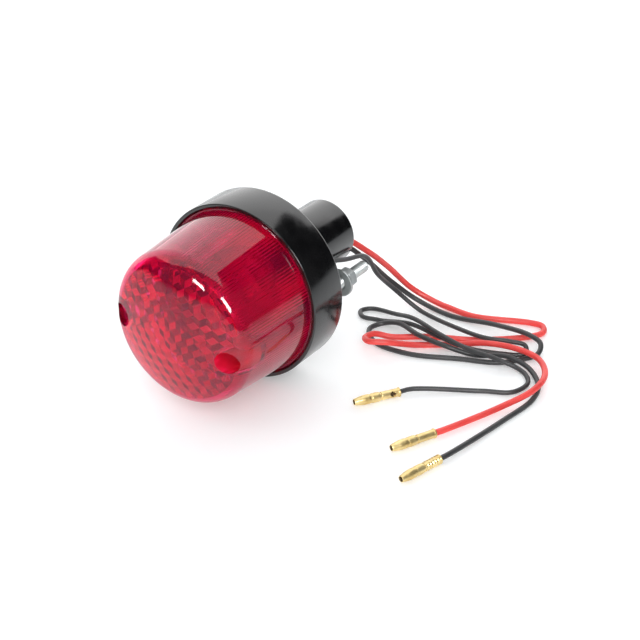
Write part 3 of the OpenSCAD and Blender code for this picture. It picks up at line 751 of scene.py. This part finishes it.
def washer(side):
    """A plain washer with softened edges."""
    line = rounded([(HOLE_CLEAR_R, WASHER_LOW), (WASHER_R, WASHER_LOW), (WASHER_R, SPRING_LOW),
                    (HOLE_CLEAR_R, SPRING_LOW)], 0.3)
    mesh = lathe("plain_ring", line, BOLTS[side], 72)
    add_object("plain_ring_" + side, mesh, zinc, "washers_" + side, "washer_" + side)


for side in BOLTS:
    bolt(side)
    nut(side)
    spring_washer(side)
    washer(side)


# ---------------------------------------------------------------- bulb and inside

GLOBE_AT, GLOBE_R, NECK_R, NECK_END = -6.5, 12.5, 7.0, 18.5
GLASS = 0.6   # its thickness


def bulb():
    """The bulb's globe and neck, hollow, with an even wall."""
    steps = 24
    meet = math.degrees(math.acos(NECK_R / GLOBE_R))
    outer = [(0, GLOBE_AT - GLOBE_R)]
    for i in range(1, steps + 1):
        a = math.radians(-90 + (90 + meet) * i / steps)
        outer.append((GLOBE_R * math.cos(a), GLOBE_AT + GLOBE_R * math.sin(a)))
    outer += [(NECK_R, outer[-1][1] + 1.2), (NECK_R, NECK_END)]
    inner = []
    for r, d in reversed(outer):
        v = Vector((r, d - GLOBE_AT))
        if d >= NECK_END - 0.01:
            inner.append((r - GLASS, d))
            continue
        on_globe = v.length <= GLOBE_R + 0.5
        v = v.normalized() * (v.length - GLASS) if on_globe else Vector((r - GLASS, v.y))
        inner.append((max(0.0, v.x), GLOBE_AT + v.y))
    mesh = lathe("globe", outer + inner, STUB, 96)
    add_object("globe", mesh, bulb_clear, "bulb", "bulb_glass")


bulb()

# Nodes that stay as they are and get their material
PAINT = {
    "lens_gasket": rubber, "reflector": satin, "socket_shell": holder_steel, "socket_rivets": zinc,
    "socket_insulator": laminate, "contact_plungers": contact_brass, "plunger_springs": zinc,
    "bulb_cap": nickel, "bulb_base": bulb_black, "bulb_contacts": solder, "bulb_stem": bulb_clear,
    "filaments": tungsten, "head_washers": fibre, "earth_terminal": tin, "cable_grommet": rubber,
    "lead_tails": black_pvc,
}
for name, paint in PAINT.items():
    data = nodes[name].data
    data.materials.clear()
    data.materials.append(paint)


# ---------------------------------------------------------------- table and light

def falloff(m, radius):
    """A value that is 1 beside the lamp and falls smoothly to 0 at a radius in metres."""
    tree = m.node_tree
    coords = tree.nodes.new("ShaderNodeTexCoord")
    mapping = tree.nodes.new("ShaderNodeMapping")
    mapping.inputs["Scale"].default_value = (1 / radius, 1 / radius, 1 / radius)
    texture = tree.nodes.new("ShaderNodeTexGradient")
    texture.gradient_type = "SPHERICAL"
    link(tree, coords, "Object", mapping, "Vector")
    link(tree, mapping, "Vector", texture, "Vector")
    return texture


def table():
    """A white table painted darker well away from the lamp as painted shade, with a painted pool of
    light glowing beside it.
    """
    mesh = bpy.data.meshes.new("table")
    half = 3.0
    corners = [(-half, -half, 0), (half, -half, 0), (half, half, 0), (-half, half, 0)]
    mesh.from_pydata(corners, [], [(0, 1, 2, 3)])
    paper = material("paper", (0.86, 0.865, 0.86), 0.55)
    # Painted shade: the table's colour darkens from beside the lamp out to 2.6 m
    ramp(paper, falloff(paper, 2.6), (0.3, 0.3, 0.3), (0.87, 0.875, 0.87), "Base Color", 0.1, 0.75)
    bump(paper, noise(paper, 900, 3), 1.5e-5)
    # Painted light: the table glows in a pool beside the lamp, which also lifts the shade under it
    paper.node_tree.nodes["Principled BSDF"].inputs["Emission Color"].default_value = (1, 1, 1, 1)
    painted_light_pool = ramp(paper, falloff(paper, 0.42), 0.0, 0.23, "Emission Strength", 0.0, 0.9)
    painted_light_pool.color_ramp.interpolation = "EASE"
    mesh.materials.append(paper)
    obj = bpy.data.objects.new("table", mesh)
    scene.collection.objects.link(obj)


def light(name, place, target, size, power, glossy=True, fill=True, up=(0, 0, 1)):
    """A flat rectangular light that faces a point.

    It is seen in reflections where it is glossy, and lights the scene where it is a fill.
    """
    data = bpy.data.lights.new(name, "AREA")
    data.shape = "RECTANGLE"
    data.size, data.size_y = size
    data.energy = power
    obj = bpy.data.objects.new(name, data)
    obj.location = place
    back = (Vector(place) - Vector(target)).normalized()
    side = Vector(up).cross(back).normalized()
    obj.rotation_euler = Matrix((side, back.cross(side), back)).transposed().to_euler()
    obj.visible_camera = False
    obj.visible_glossy = glossy
    obj.visible_diffuse = obj.visible_transmission = fill
    scene.collection.objects.link(obj)
    return obj


table()

world = bpy.data.worlds.new("room")
world.use_nodes = True
world.node_tree.nodes["Background"].inputs["Color"].default_value = (0.9, 0.95, 1.0, 1)
world.node_tree.nodes["Background"].inputs["Strength"].default_value = 0.5
world.cycles_visibility.glossy = False
scene.world = world
scene.view_settings.view_transform = "Standard"


def beside(right, forward, height):
    """A point placed from the camera's side: to its right, away from it and up, in metres."""
    turn = camera.rotation_euler.z
    c, s = math.cos(turn), math.sin(turn)
    return Vector((right * c - forward * s, right * s + forward * c, height))


# Name, place, the point it faces, size, power in watts
centre = (0, 0, 0.04)
light("backdrop", beside(-0.1, 0.95, 0.5), beside(-0.1, 0, 0.5), (2.6, 1.0), 13.7)
light("overhead", beside(-0.53, 0.3, 1.0), beside(-0.53, 0.3, 0), (2.14, 1.3), 13.1,
      fill=False, up=beside(0, 1, 0))
light("above", (0.1, -0.1, 1.3), centre, (1.4, 1.4), 2.0, glossy=False)
light("fill", (-0.75, -0.5, 0.45), centre, (0.8, 0.7), 2.0, glossy=False)
light("front", (0.66, -0.78, 0.66), centre, (1.0, 0.8), 9.0, glossy=False)
light("wall_right", (1.3, 0.0, 0.85), (0, 0, 0.85), (2.4, 1.6), 0.8, fill=False)
light("wall_front", (0.0, -1.4, 0.85), (0, 0, 0.85), (2.6, 1.6), 1.5, fill=False)
light("ceiling", (0.0, -0.2, 1.7), (0, -0.2, 0), (2.6, 2.4), 2.4, fill=False)

# The two short highlights on the lens's edge. The left one's light falls on the lens alone
strip = light("strip_left", (-0.1391, -0.7988, 0.2833), (0.0123, -0.0444, 0.0632), (0.16, 0.2), 3.0,
              fill=False, up=(0.358, 0.222, 0.907))
light("panel_right", (0.5344, -0.5286, 0.4351), (0.0234, -0.0425, 0.0573), (0.2, 0.28), 5.2,
      fill=False, up=(0.67, 0.128, -0.732))
lit = bpy.data.collections.new("strip_falls_on")
lit.objects.link(bpy.data.objects["lens_glass"])
strip.light_linking.receiver_collection = lit
